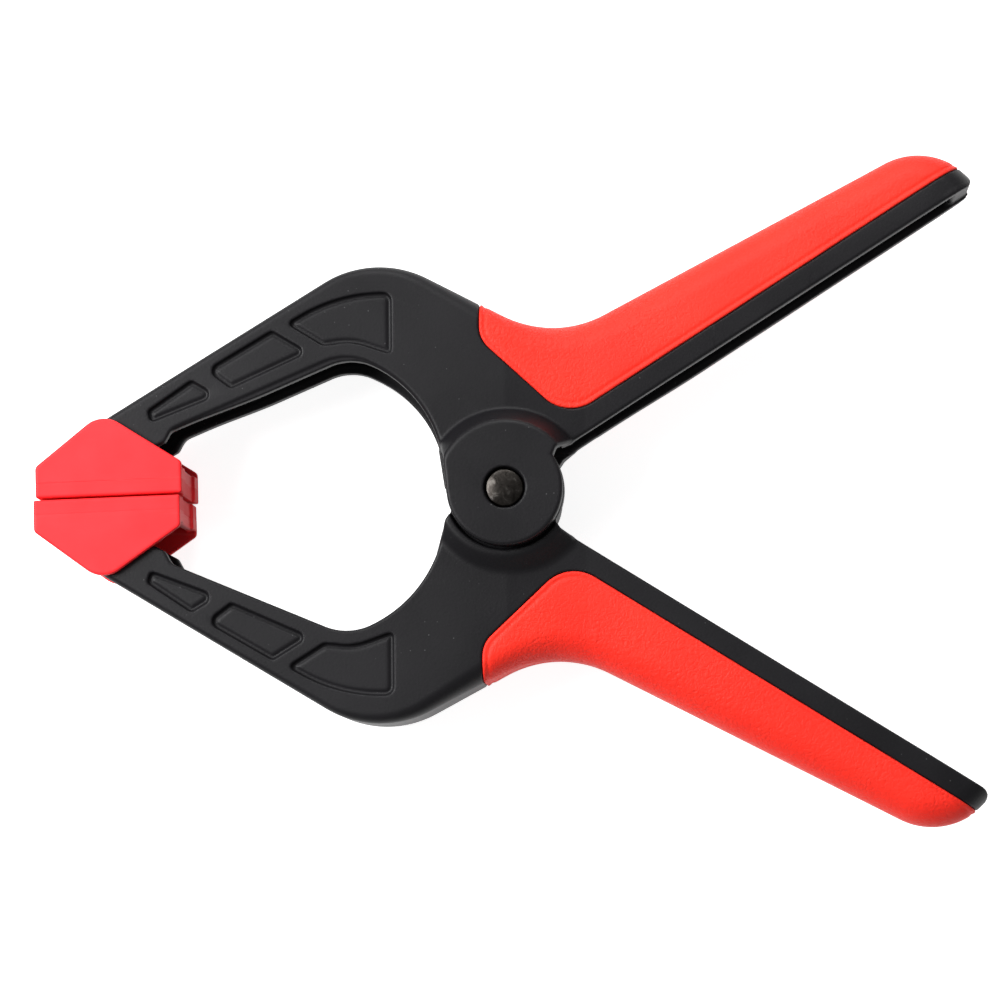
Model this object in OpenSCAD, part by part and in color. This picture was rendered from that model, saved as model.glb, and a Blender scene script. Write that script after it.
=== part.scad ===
// Spring clamp: two channel-section nylon arms cross at a pivot pin, with moulded-on handle grips,
// swivelling jaw pads and a torsion spring between the arms that holds the jaws shut.
// It lies flat. Z is the pivot axis, -X points along the jaws, +X along the handles, and +Y is the
// upper arm's side. The origin is on the pivot axis, in the rear face of the lower arm's disc.
// Both arms are one shape: the lower arm is the upper arm turned over about the X axis.

/* [Thickness] */
// Height over the two pivot discs
hub_h = 30; // [29:0.5:32]
// Thickness of the jaws
jaw_t = 19; // [18:0.5:19.5]
// Thickness of a handle where it leaves the hub
handle_root_t = 17; // [16.5:0.5:18]
// Thickness of a handle at its tip
handle_tip_t = 14; // [13:0.5:16]
// Thickness of the arms' flanges
flange_t = 2.8; // [2.6:0.1:3]
// Thickness of the outer wall of a jaw
jaw_web = 3.2; // [2.4:0.2:4]
// Thickness of the outer wall of a handle, with its grip
handle_web = 5.5; // [5:0.25:6]

/* [Jaw outline] */
// Place of the elbow's corner along X
elbow_x = -26.5; // [-28:0.5:-25]
// Place of the elbow's corner along Y
elbow_y = 49.8; // [48.8:0.2:50]
// Radius of the elbow
elbow_r = 21.5; // [19:0.5:22]
// Place of the throat's crown along X
crown_x = -32; // [-33:0.5:-31]
// Place of the throat's crown along Y
crown_y = 29; // [28:0.5:30]
// Radius of the throat's crown
crown_r = 11.5; // [9:0.5:11.5]
// Place of the throat's shoulder along X
shoulder_x = -16; // [-17:0.5:-16]
// Place of the throat's shoulder along Y
shoulder_y = 21; // [20:0.5:22]
// Radius of the throat's shoulder
shoulder_r = 26; // [20:1:26]
// Place along X where the throat's edge turns down to the pad
neck_x = -68; // [-68:0.5:-66]
// Place along Y where the throat's edge turns down to the pad
neck_y = 13.8; // [13.8:0.1:14.8]

/* [Handle outline] */
// Place along X of the valley between the elbow and the handle
valley_x = 9.5; // [8:0.5:10]
// Place along Y of the valley between the elbow and the handle
valley_y = 31; // [30.5:0.5:32]
// Radius of the valley
valley_r = 23; // [20:1:27]
// Place along X of the outer corner of the handle's end
tip_x = 87; // [80:1:92]
// Place along Y of the outer corner of the handle's end
tip_y = 71.5; // [70:0.5:73]
// Radius of the outer corner of the handle's end
tip_r = 14; // [10:1:15]
// Place along X of the inner corner of the handle's end
heel_x = 96.5; // [92:0.5:100]
// Place along Y of the inner corner of the handle's end
heel_y = 62.2; // [61:0.2:63]
// Place along X where the handle's inner edge meets the hub
root_x = 12.8; // [12.4:0.2:13.4]
// Place along Y where the handle's inner edge meets the hub
root_y = 9.3; // [9.1:0.2:10.1]

/* [Grips] */
// Thickness of the soft grip over the nylon
grip_t = 1.4; // [1.2:0.1:1.4]
// How far the grip stands proud of the nylon beside it
grip_proud = 0.35; // [0.2:0.05:0.5]
// Radius of the grip's outer edges
grip_round = 6.5; // [6:0.25:6.5]
// Width of the bare nylon strip beside the grip, along the handle's inner edge
strip_w = 4.5; // [3.5:0.25:5.5]

/* [Pads] */
// Distance of the pad pins from the pivot, along X
pad_pin_x = -81.5; // [-83:0.5:-80]
// Distance of the pad pins from the closing line, along Y
pad_pin_y = 10; // [10:0.25:10.5]
// Length of a pad
pad_l = 30; // [29:0.5:31]
// Height of a pad's straight ends
pad_end_h = 6.6; // [6:0.2:7]
// Thickness of a pad, along the pivot axis
pad_t = 22.5; // [22:0.25:24]
// Thickness of the soft facing
facing_t = 3; // [2.5:0.1:3.1]
// Gap between the two closed pads
pad_gap = 0.4; // [0.3:0.05:0.6]
// Turn of both pads about their pins at rest
pad_tilt = 1.4; // [0:0.2:1.6]

/* [Pivot] */
// Radius of the pivot pin
pin_r = 3.9; // [3.5:0.1:4]
// Radius of the upper arm's disc
upper_disc_r = 11.7; // [11:0.1:11.8]
// Radius of the lower arm's disc
lower_disc_r = 10.4; // [10:0.1:11.8]
// Thickness of the discs
disc_t = 4; // [3.8:0.1:4.1]
// Radius of the raised boss at its top
boss_r = 13.6; // [13.4:0.1:13.8]
// Radius of the raised boss at its foot
boss_foot_r = 16.5; // [16:0.1:16.6]

/* [Spring] */
// Diameter of the spring wire
wire_d = 2.4; // [2:0.1:2.4]
// Mean radius of the coil
coil_r = 6.4; // [6.2:0.1:6.8]
// Whole turns of the coil, besides the part turn between the legs
coil_turns = 3; // [2:1:3]
// Free space between two turns
coil_gap = 0.6; // [0.5:0.05:0.6]
// Length of a leg
leg_l = 44; // [30:1:44]

/* [Hidden] */

mid_z = hub_h / 2;
far = 60;             // longer than any cut needs
run_gap = 0.05;       // radial clearance of a pin in its bore
arc_step = 6;         // degrees between the points of a rounded corner
round_fn = 48;

nylon = "#2b2b2c";
soft_red = "#f0413a";
pad_red = "#f2484c";
steel = "#5b5754";
spring_steel = "#7c7d80";

// ---- Plane geometry ---------------------------------------------------------------------------

function unit(v) = v / norm(v);
function xy(c) = [c.x, c.y];
function left_of(v) = [-v.y, v.x];
function crossed(a, b) = a.x * b.y - a.y * b.x;
function wrapped(a) = a > 180 ? a - 360 : a < -180 ? a + 360 : a;
function meet(p, u, q, v) = p + u * crossed(q - p, v) / crossed(u, v);

// The points of corner p, rounded with radius r, between its neighbours a and b
function corner(a, p, b, r) =
    let (
        u = unit(a - p),
        v = unit(b - p),
        half = acos(u * v) / 2,
        centre = p + unit(u + v) * r / sin(half),
        first = p + u * r / tan(half) - centre,
        last = p + v * r / tan(half) - centre,
        start = atan2(first.y, first.x),
        turn = wrapped(atan2(last.y, last.x) - start),
        n = ceil(abs(turn) / arc_step)
    )
    r <= 0 ? [p] : [for (i = [0:n]) centre + r * [cos(start + turn * i / n), sin(start + turn * i / n)]];

// A closed outline from a list of corners, each [x, y, radius]
function rounded(c) =
    let (n = len(c))
    [for (i = [0:n - 1]) each corner(xy(c[(i + n - 1) % n]), xy(c[i]), xy(c[(i + 1) % n]), c[i].z)];

// The same corners with each edge moved into the outline by its own distance w.
// Edge i runs from corner i to the next, and the outline runs clockwise.
function moved(c, w) =
    let (n = len(c))
    [for (i = [0:n - 1])
        let (
            j = (i + n - 1) % n,
            p = xy(c[i]),
            u = unit(p - xy(c[j])),
            v = unit(xy(c[(i + 1) % n]) - p),
            q = meet(p - left_of(u) * w[j], u, p - left_of(v) * w[i], v),
            side = crossed(u, v) < 0 ? 1 : -1
        )
        [q.x, q.y, max(0.5, c[i].z - side * (w[i] + w[j]) / 2)]];

// ---- Outlines of the upper arm ----------------------------------------------------------------

nose_r = 4.6;
nose_slope = 28;      // slope of the arm's lower edge beside the pad pin
nose_x = pad_pin_x - nose_r;
nose_low_y = pad_pin_y - nose_r * (tan(nose_slope) + 1 / cos(nose_slope));
nose_top_y = 13.6;

elbow = [elbow_x, elbow_y, elbow_r];
valley = [valley_x, valley_y, valley_r];
tip = [tip_x, tip_y, tip_r];
heel = [heel_x, heel_y, 2];
root = [root_x, root_y, 0];

arm_corners = [
    [-root_x, 8, 0],
    [shoulder_x, shoulder_y, shoulder_r],
    [crown_x, crown_y, crown_r],
    [neck_x, neck_y, 3],
    [neck_x - 1.4, neck_y - 2.6, 1],
    [nose_x, nose_low_y, nose_r],
    [nose_x, nose_top_y, 2],
    elbow, valley, tip, heel, root,
];

// The channel opens past the throat's edge and past the handle's inner edge, so those edges move out.
open_by = -8;
nose_solid = 12;
channel_moves = [
    open_by, open_by, open_by, open_by, open_by, nose_solid,
    jaw_web, jaw_web, handle_web, handle_web, open_by, open_by,
];

handle_slope = (heel_y - root_y) / (heel_x - root_x);
strip_rise = strip_w * sqrt(1 + handle_slope * handle_slope);
grip_front_x = -5.2;
grip_toe = [12.5, root_y + (12.5 - root_x) * handle_slope + strip_rise, 8];
grip_end_x = 110;
grip_corners = [
    [grip_front_x, 31, 6],
    [grip_front_x, far, 0],
    [grip_end_x, 100, 0],
    [grip_end_x, grip_toe.y + (grip_end_x - grip_toe.x) * handle_slope, 0],
    grip_toe,
];

panel_depth = 0.7;
panels = [
    [[-73, 17.6, 0.8], [-64, 23.7, 0.9], [-58.7, 20.5, 1.4], [-72.4, 15.2, 0.8]],
    [[-61, 25.7, 1.6], [-47.5, 33.6, 1], [-40, 29, 1.2], [-55.9, 21.9, 0.8]],
    [[-44.5, 35, 0.8], [-34, 41, 33], [-23, 41, 1.8], [-23, 28.2, 0.8], [-31, 31, 12], [-37, 30.3, 1.5]],
];

// Outline of the raised boss, and of the lower rim that half surrounds the other arm's disc
boss_clip = [
    [-9, -1], [-11.7, -1], [-12, 3], [-12.4, 6.5], [-13.2, 9.5],
    [-19, 24], [19, 24], [13.4, 9.6], [10.4, 8], [9.8, 6.5], [6, 4],
];
rim_clip = [
    [-11.2, 4.4], [-12.3, 6.1], [-13.2, 9.5], [-19, 24], [19, 24], [13.4, 9.6], [11, 8], [10, 6.5], [6, 4],
];

// ---- Levels along the pivot axis, for the upper arm ---------------------------------------------

jaw_top = mid_z + jaw_t / 2;
jaw_bottom = mid_z - jaw_t / 2;
play = 0.4;                              // between a disc and the ear below it
inner_ear_low = disc_t + play;
inner_ear_high = jaw_bottom + flange_t;
rim_drop = 3;                            // of the lower rim below the disc's face
cavity_high = hub_h - disc_t - 0.2;
collar_rise = 1.2;                       // of the ear's collar, which ends inside the spring's coil
cavity_r = 14.2;
taper_start_x = 0;
taper_root_x = 16;

// Half of the arm's thickness at a place along X
function half_t(x) =
    x <= taper_start_x ? jaw_t / 2
    : x <= taper_root_x ? lookup(x, [[taper_start_x, jaw_t / 2], [taper_root_x, handle_root_t / 2]])
    : handle_root_t / 2 + (handle_tip_t - handle_root_t) / 2 * (x - taper_root_x) / (heel_x - taper_root_x);

// ---- Building blocks ---------------------------------------------------------------------------

// The space between the arm's front and rear faces, each moved in by a distance
module between_faces(inset) {
    stops = [-far * 2, taper_start_x, taper_root_x, far * 2];
    front = [for (x = stops) [x, half_t(x) - inset]];
    rear = [for (i = [3:-1:0]) [front[i].x, -front[i].y]];
    translate([0, far * 1.5, mid_z])
        rotate([90, 0, 0])
            linear_extrude(far * 2)
                polygon(concat(front, rear));
}

module prism(points) {
    translate([0, 0, -far / 2])
        linear_extrude(far * 2)
            polygon(points);
}

module disc(r, low, high) {
    translate([0, 0, low])
        cylinder(r = r, h = high - low, $fn = round_fn);
}

module cone(r_low, r_high, low, high) {
    translate([0, 0, low])
        cylinder(r1 = r_low, r2 = r_high, h = high - low, $fn = round_fn);
}

// Turns the upper arm's shapes over, into the lower arm's place
module turned_over() {
    translate([0, 0, hub_h])
        rotate([180, 0, 0])
            children();
}

module about_pad_pin(angle) {
    translate([pad_pin_x, pad_pin_y, 0])
        rotate([0, 0, angle])
            children();
}

// ---- Arms --------------------------------------------------------------------------------------

grip_key = 2.6;       // step in the nylon under the grip, which keys the grip to it

function core_moves(w) = [0, 0, 0, 0, 0, 0, 0, w, w, w, 0, 0];

// What the grip is moulded over, stepped back twice at its outer edge
module grip_core() {
    intersection() {
        prism(rounded(moved(arm_corners, core_moves(grip_t))));
        between_faces(grip_t + grip_key);
    }
    intersection() {
        prism(rounded(moved(arm_corners, core_moves(grip_t + grip_key))));
        between_faces(grip_t);
    }
}

module arm_body() {
    difference() {
        intersection() {
            prism(rounded(arm_corners));
            between_faces(0);
        }
        prism(rounded(grip_corners));
    }
    intersection() {
        grip_core();
        prism(rounded(grip_corners));
    }
}

// A wall across the channel, at right angles to a direction
module rib(x, y, angle, length) {
    translate([x, y, mid_z])
        rotate([0, 0, angle])
            translate([-1, 0, -jaw_t / 2])
                cube([2, length, jaw_t]);
}

rib_places = [
    [-52.5, 21.5, 31, 12],
    [-27, 29, 0, 16],
    [50, 34.8, 27, 14],
    [66, 44.8, 27, 12],
    [80, 53.7, 27, 11],
];

module ribs() {
    intersection() {
        union()
            for (r = rib_places)
                rib(r[0], r[1], r[2], r[3]);
        prism(rounded(moved(arm_corners, core_moves(grip_t + grip_key))));
        between_faces(grip_t + 0.6);
    }
}

module panel_recesses() {
    for (p = panels) {
        translate([0, 0, jaw_top - panel_depth])
            linear_extrude(far)
                polygon(rounded(p));
        translate([0, 0, jaw_bottom + panel_depth - far])
            linear_extrude(far)
                polygon(rounded(p));
    }
}

// The boss that carries the arm's own disc
module disc_boss() {
    intersection() {
        union() {
            cone(boss_foot_r, boss_r, jaw_top, hub_h);
            disc(boss_foot_r, jaw_top - flange_t, jaw_top);
        }
        prism(boss_clip);
    }
}

// The ear inside the other arm's disc, with the rim that half surrounds that disc
module inner_ear(r) {
    disc(r, inner_ear_low, inner_ear_high);
    intersection() {
        union() {
            cone(boss_r, boss_foot_r, rim_drop, jaw_bottom);
            disc(boss_foot_r, jaw_bottom, inner_ear_high);
        }
        prism(rim_clip);
    }
    disc(pin_r + 1.1, inner_ear_low, inner_ear_high + collar_rise);
}

module own_disc(r) {
    edge = 0.7;
    cone(r, r - edge, hub_h - edge, hub_h);
    disc(r, hub_h - disc_t, hub_h - edge);
}

// An arm in the upper arm's place. own_r is its disc's radius, other_r that of the other arm's disc.
module arm(own_r, other_r) {
    head_gap = 0.4;
    difference() {
        union() {
            difference() {
                union() {
                    difference() {
                        arm_body();
                        intersection() {
                            prism(rounded(moved(arm_corners, channel_moves)));
                            between_faces(flange_t);
                        }
                    }
                    ribs();
                    disc_boss();
                    inner_ear(other_r + 0.1);
                }
                disc(cavity_r, inner_ear_high + 2.5, cavity_high);
                disc(other_r + 0.5, -1, inner_ear_low);
                panel_recesses();
            }
            own_disc(own_r);
        }
        disc(pin_r + run_gap, -1, far);
        disc(pin_r + head_gap, hub_h - 1.2, far);
        translate([pad_pin_x, pad_pin_y, 0])
            disc(pad_pin_r + 0.02, -1, far);
    }
}

rear_lip = [1.2, 1.2, 0.6, 0, 0, 0, 0, 0, 0, 0, 0.5, 0];
lip_foot = [[-14.9, 10.5], [-13.7, 2.4], [-9, 2.4], [-9, 10.5]];

// A lip on the rear flange's inner edges. It stops at both sides of the hub.
module lip() {
    band = 1;             // of the flange that the lip overlaps
    inner = [band, band, band, -band, -band, -band, -band, -band, -band, -band, band, band];
    handle_start_x = 18;
    intersection() {
        difference() {
            prism(rounded(moved(arm_corners, -rear_lip)));
            prism(rounded(moved(arm_corners, inner)));
            between_faces(flange_t);
            translate([-root_x, -far, -far])
                cube([root_x + handle_start_x, far * 3, far * 3]);
        }
        between_faces(0);
        translate([-far * 2, -far, 0])
            cube([far * 4, far * 3, mid_z]);
    }
}

// The lip, and its foot beside the ear
module throat_lip() {
    lip();
    translate([0, 0, jaw_bottom])
        linear_extrude(flange_t)
            polygon(lip_foot);
}

module upper_arm() {
    color(nylon) {
        arm(upper_disc_r, lower_disc_r);
        throat_lip();
    }
}

module lower_arm() {
    retainer_pocket_r = 6.8;
    color(nylon)
        difference() {
            turned_over()
                arm(lower_disc_r, upper_disc_r);
            disc(retainer_pocket_r, -1, 1.5);
        }
}

// ---- Grips -------------------------------------------------------------------------------------

// The path of the grip's outer surface, along the handle's outer edge
before_valley = xy(valley) + 22 * unit(xy(elbow) - xy(valley));
after_tip = xy(tip) + 14 * unit(xy(heel) - xy(tip));
grip_path = concat(
    [before_valley],
    corner(xy(elbow), xy(valley), xy(tip), valley_r),
    corner(xy(valley), xy(tip), xy(heel), tip_r),
    [after_tip]
);

round_steps = 6;
edge_angles = [for (i = [0:round_steps]) 90 - 90 * i / round_steps];

// One cross-section of the grip's outer form, as [depth from the outer edge, height, side]
function grip_section(depth) = concat(
    [[depth, 0, 1]],
    [for (a = edge_angles) [grip_round * (1 - cos(a)), grip_round * (1 - sin(a)), 1]],
    [for (i = [round_steps:-1:0])
        [grip_round * (1 - cos(edge_angles[i])), grip_round * (1 - sin(edge_angles[i])), -1]],
    [[depth, 0, -1]]
);

function path_normal(path, i) =
    let (n = len(path) - 1)
    left_of(unit(path[min(i + 1, n)] - path[max(i - 1, 0)]));

// Depth of the grip's form below its outer edge, at a place along X: always past the strip
function grip_depth(x) = lookup(x, [[-12, 24], [14, 22], [60, 13], [100, 12]]);

module grip_form() {
    path = grip_path;
    n = len(path);
    k = len(grip_section(0));
    points = [for (i = [0:n - 1])
        let (out = path_normal(path, i))
        for (s = grip_section(grip_depth(path[i].x)))
            let (p = path[i] + out * (grip_proud - s[0]))
            [p.x, p.y, mid_z + s[2] * (half_t(p.x) + grip_proud - s[1])]];
    walls = [for (i = [0:n - 2]) for (j = [0:k - 1])
        let (
            a = i * k + j,
            b = i * k + (j + 1) % k
        )
        each [[a, b, a + k], [b, b + k, a + k]]];
    caps = [
        [for (j = [k - 1:-1:0]) j],
        [for (j = [0:k - 1]) (n - 1) * k + j],
    ];
    polyhedron(points, concat(walls, caps), convexity = 6);
}

module grip() {
    difference() {
        intersection() {
            grip_form();
            prism(rounded(grip_corners));
        }
        grip_core();
    }
}

module upper_grip() {
    color(soft_red)
        grip();
}

module lower_grip() {
    color(soft_red)
        turned_over()
            grip();
}

// ---- Pads --------------------------------------------------------------------------------------
// A pad is drawn about its pin: X along the pad, and -Y towards the other pad.

pad_pin_r = 1.5;
pad_left = -14.4;
pad_right = pad_left + pad_l;
pad_face_y = pad_gap / 2 - pad_pin_y;
pad_shoulder_y = pad_end_h - pad_pin_y;
pad_apex = [-0.5, 7.3, 5.6];
slot_floor_y = -5.1;
slot_left = -7;
slot_fall = 0.9;       // of the slot's floor towards the pad's right end, clear of the turned arm
end_wall = 2;
end_wall_y = -4.4;
slot_half_t = jaw_t / 2 + 0.25;

pad_corners = [
    [pad_left, pad_face_y, 0],
    [pad_left, pad_shoulder_y, 1],
    pad_apex,
    [pad_right, pad_shoulder_y, 1],
    [pad_right, pad_face_y, 0],
];

slot_outline = [
    [slot_left, slot_floor_y],
    [slot_left, far / 2],
    [far / 2, far / 2],
    [far / 2, end_wall_y],
    [pad_right - end_wall, end_wall_y],
    [pad_right - end_wall, slot_floor_y - slot_fall],
    [2, slot_floor_y],
];

module pad_block(low_y, high_y) {
    intersection() {
        translate([0, 0, mid_z - pad_t / 2])
            linear_extrude(pad_t)
                polygon(rounded(pad_corners));
        translate([-far / 2, low_y, 0])
            cube([far, high_y - low_y, far]);
    }
}

// The rail that keys the facing into the pad
module facing_rail(grow) {
    rail_l = 18;
    rail_w = 14;
    rail_h = 0.9;
    translate([pad_left + 3 - grow, pad_face_y + facing_t - 0.1, mid_z - rail_w / 2 - grow])
        cube([rail_l + 2 * grow, rail_h + 0.1 + grow, rail_w + 2 * grow]);
}

// The shallow hollow in the pad's right end
module end_hollow() {
    hollow_w = 12;
    hollow_depth = 0.6;
    translate([pad_right - hollow_depth, -far / 2, mid_z - hollow_w / 2])
        cube([far, far, hollow_w]);
}

module pad_carrier() {
    difference() {
        pad_block(pad_face_y + facing_t, far / 2);
        translate([0, 0, mid_z - slot_half_t])
            linear_extrude(2 * slot_half_t)
                polygon(slot_outline);
        end_hollow();
        facing_rail(0.05);
        disc(pad_pin_r + run_gap, mid_z - pad_pin_l / 2 - 0.1, mid_z + pad_pin_l / 2 + 0.1);
    }
}

module pad_facing() {
    difference() {
        pad_block(pad_face_y, pad_face_y + facing_t);
        end_hollow();
    }
    facing_rail(0);
}

module upper_pad() {
    color(pad_red)
        about_pad_pin(pad_tilt)
            pad_carrier();
}

module lower_pad() {
    color(pad_red)
        turned_over()
            about_pad_pin(-pad_tilt)
                pad_carrier();
}

module upper_pad_facing() {
    color(pad_red)
        about_pad_pin(pad_tilt)
            pad_facing();
}

module lower_pad_facing() {
    color(pad_red)
        turned_over()
            about_pad_pin(-pad_tilt)
                pad_facing();
}

// ---- Pins --------------------------------------------------------------------------------------

pad_pin_l = 21.2;

module pad_pin() {
    about_pad_pin(0)
        disc(pad_pin_r, mid_z - pad_pin_l / 2, mid_z + pad_pin_l / 2);
}

module upper_pad_pin() {
    color(steel)
        pad_pin();
}

module lower_pad_pin() {
    color(steel)
        turned_over()
            pad_pin();
}

pin_low = 0.4;
pin_high = hub_h - 0.3;

module pivot_pin() {
    bevel = 0.6;
    crown = 0.3;
    profile = [
        [0, pin_low],
        [pin_r - bevel, pin_low],
        [pin_r, pin_low + bevel],
        [pin_r, pin_high - crown - bevel],
        [pin_r - bevel, pin_high - crown],
        [pin_r / 2, pin_high - crown / 4],
        [0, pin_high],
    ];
    color(steel)
        rotate_extrude($fn = round_fn)
            polygon(profile);
}

// The push-on ring that holds the pin's rear end, let into the lower arm's disc
module pin_retainer() {
    color(spring_steel)
        difference() {
            disc(6.2, 0.7, 1.2);
            disc(pin_r, 0, 2);
        }
}

// ---- Spring ------------------------------------------------------------------------------------

leg_angle = 41;                   // of the upper leg, from +X
coil_pitch = wire_d + coil_gap;
part_turn = (360 - 2 * (90 + leg_angle)) / 360;
turns = coil_turns + part_turn;
curl_rings = 8;
rings = round(turns * curl_rings);
coil_high = mid_z + turns * coil_pitch / 2;
leg_end_dz = 3.8;                 // of a leg's end from the middle of the channel

function coil_point(i) =
    let (a = 90 + leg_angle + 360 * turns * i / rings)
    [coil_r * cos(a), coil_r * sin(a), coil_high - turns * coil_pitch * i / rings];
function leg_point(start, angle, z_end, share) =
    [start.x + leg_l * share * cos(angle), start.y + leg_l * share * sin(angle), start.z + (z_end - start.z) * share];

wire_path = concat(
    [for (s = [1, 0.5, 0.1]) leg_point(coil_point(0), leg_angle, mid_z + leg_end_dz, s)],
    [for (i = [0:rings]) coil_point(i)],
    [for (s = [0.1, 0.5, 1]) leg_point(coil_point(rings), -leg_angle, mid_z - leg_end_dz, s)]
);

// The least distance between the surfaces of stretches of wire that don't follow each other
wire_clearance = min([for (i = [0:len(wire_path) - 1]) for (j = [i + 6:1:len(wire_path) - 1])
    norm(wire_path[i] - wire_path[j]) - wire_d]);
echo("least gap of the spring wire to itself, in mm", wire_clearance);

module torsion_spring() {
    sides = 6;
    n = len(wire_path);
    points = [for (i = [0:n - 1])
        let (
            along = unit(wire_path[min(i + 1, n - 1)] - wire_path[max(i - 1, 0)]),
            side = unit(cross(along, [0, 0, 1])),
            up = cross(side, along)
        )
        for (j = [0:sides - 1])
            wire_path[i] + wire_d / 2 * (side * cos(60 * j) + up * sin(60 * j))];
    walls = [for (i = [0:n - 2]) for (j = [0:sides - 1])
        let (
            a = i * sides + j,
            b = i * sides + (j + 1) % sides
        )
        each [[a, b, a + sides], [b, b + sides, a + sides]]];
    caps = [
        [for (j = [sides - 1:-1:0]) j],
        [for (j = [0:sides - 1]) (n - 1) * sides + j],
    ];
    color(spring_steel)
        polyhedron(points, concat(walls, caps), convexity = 8);
}

upper_arm();
lower_arm();
upper_grip();
lower_grip();
upper_pad();
lower_pad();
upper_pad_facing();
lower_pad_facing();
upper_pad_pin();
lower_pad_pin();
pivot_pin();
pin_retainer();
torsion_spring();
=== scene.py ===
"""Spring clamp: the dressed model.

Shapes are worked out in millimetres, and every mesh is made in metres. The moulded pieces are cut
from distance fields, so that their fillets, walls and recesses run into each other as they do on a
moulding.
"""

import math

import bpy
import numpy as np
from mathutils import Matrix, Vector

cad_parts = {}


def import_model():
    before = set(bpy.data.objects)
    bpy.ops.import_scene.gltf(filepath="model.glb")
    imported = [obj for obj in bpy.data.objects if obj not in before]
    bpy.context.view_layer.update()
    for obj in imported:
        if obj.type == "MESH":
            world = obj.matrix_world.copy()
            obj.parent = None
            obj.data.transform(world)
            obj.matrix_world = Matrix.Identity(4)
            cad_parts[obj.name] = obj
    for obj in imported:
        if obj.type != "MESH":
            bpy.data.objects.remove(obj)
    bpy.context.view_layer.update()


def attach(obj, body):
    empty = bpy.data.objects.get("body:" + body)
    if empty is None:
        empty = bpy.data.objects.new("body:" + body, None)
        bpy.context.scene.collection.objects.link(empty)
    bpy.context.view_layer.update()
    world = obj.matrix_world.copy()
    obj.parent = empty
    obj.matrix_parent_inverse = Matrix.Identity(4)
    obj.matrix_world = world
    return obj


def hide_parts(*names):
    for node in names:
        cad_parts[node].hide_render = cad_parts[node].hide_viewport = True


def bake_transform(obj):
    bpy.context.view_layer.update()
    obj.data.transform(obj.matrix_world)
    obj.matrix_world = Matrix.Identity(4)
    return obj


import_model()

MM = 0.001
HUB_H = 30.0               # over both pivot discs
MID_Z = HUB_H / 2

# ---- Camera ------------------------------------------------------------------------------------

SENSOR = 36
PICTURE = 1000             # the photograph's width and height, in pixels
FOCAL = 3200.0             # in the photograph's pixels
VANISH = (705.0, 868.0)    # where the pivot axis vanishes
PIVOT = (504.2, 486.8)     # where the pivot's front face shows
ROLL = -0.62               # in degrees
DISTANCE = 640.0           # to the pivot's front face, along the camera's axis


def make_camera():
    centre = PICTURE / 2
    away = np.array([(VANISH[0] - centre) / FOCAL, (VANISH[1] - centre) / FOCAL, 1.0])
    away /= np.linalg.norm(away)
    roll = math.radians(ROLL)
    x = np.array([math.cos(roll), math.sin(roll), 0.0])
    x -= away * (x @ away)
    x /= np.linalg.norm(x)
    z = -away
    y = np.cross(z, x)
    to_camera = np.array([x, y, z]).T
    pivot = np.array([(PIVOT[0] - centre) / FOCAL, (PIVOT[1] - centre) / FOCAL, 1.0]) * DISTANCE
    shift = pivot - to_camera @ np.array([0, 0, HUB_H])
    place = -to_camera.T @ shift * MM
    right, down, ahead = to_camera
    data = bpy.data.cameras.new("camera")
    data.sensor_width = SENSOR
    data.sensor_fit = "HORIZONTAL"
    data.lens = FOCAL / PICTURE * SENSOR
    data.clip_start = 0.01
    data.clip_end = 20
    camera = bpy.data.objects.new("camera", data)
    camera.matrix_world = Matrix(
        [[right[i], -down[i], -ahead[i], place[i]] for i in range(3)] + [[0, 0, 0, 1]]
    )
    bpy.context.scene.collection.objects.link(camera)
    bpy.context.scene.camera = camera


make_camera()

# ---- Plane geometry ----------------------------------------------------------------------------


def unit(v):
    v = np.asarray(v, float)
    return v / np.linalg.norm(v)


def left_of(v):
    return np.array([-v[1], v[0]])


def crossed(a, b):
    return a[0] * b[1] - a[1] * b[0]


def corner(a, p, b, r, step=0.5):
    """The points of corner p, rounded with radius r, between its neighbours a and b."""
    if r <= 0:
        return [np.array(p, float)]
    u, v = unit(np.subtract(a, p)), unit(np.subtract(b, p))
    half = math.acos(np.clip(u @ v, -1, 1)) / 2
    centre = p + unit(u + v) * r / math.sin(half)
    first = p + u * r / math.tan(half) - centre
    last = p + v * r / math.tan(half) - centre
    start = math.atan2(first[1], first[0])
    turn = math.atan2(last[1], last[0]) - start
    turn = (turn + math.pi) % (2 * math.pi) - math.pi
    n = max(3, math.ceil(abs(turn) * r / step))
    angles = [start + turn * i / n for i in range(n + 1)]
    return [centre + r * np.array([math.cos(a), math.sin(a)]) for a in angles]


def rounded(corners):
    """The outline through (x, y, radius) corners, each rounded with its own radius."""
    n = len(corners)
    out = []
    for i, c in enumerate(corners):
        before = np.array(corners[i - 1][:2])
        after = np.array(corners[(i + 1) % n][:2])
        out += corner(before, np.array(c[:2], float), after, c[2])
    return np.array(out)


def moved(corners, by):
    """The same corners with edge i moved into the clockwise outline by by[i]."""
    n = len(corners)
    out = []
    for i, c in enumerate(corners):
        p = np.array(c[:2], float)
        u = unit(p - np.array(corners[i - 1][:2]))
        v = unit(np.array(corners[(i + 1) % n][:2]) - p)
        a, b = p - left_of(u) * by[i - 1], p - left_of(v) * by[i]
        q = a + u * crossed(b - a, v) / crossed(u, v)
        side = 1 if crossed(u, v) < 0 else -1
        out.append((q[0], q[1], max(0.5, c[2] - side * (by[i - 1] + by[i]) / 2)))
    return out


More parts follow.
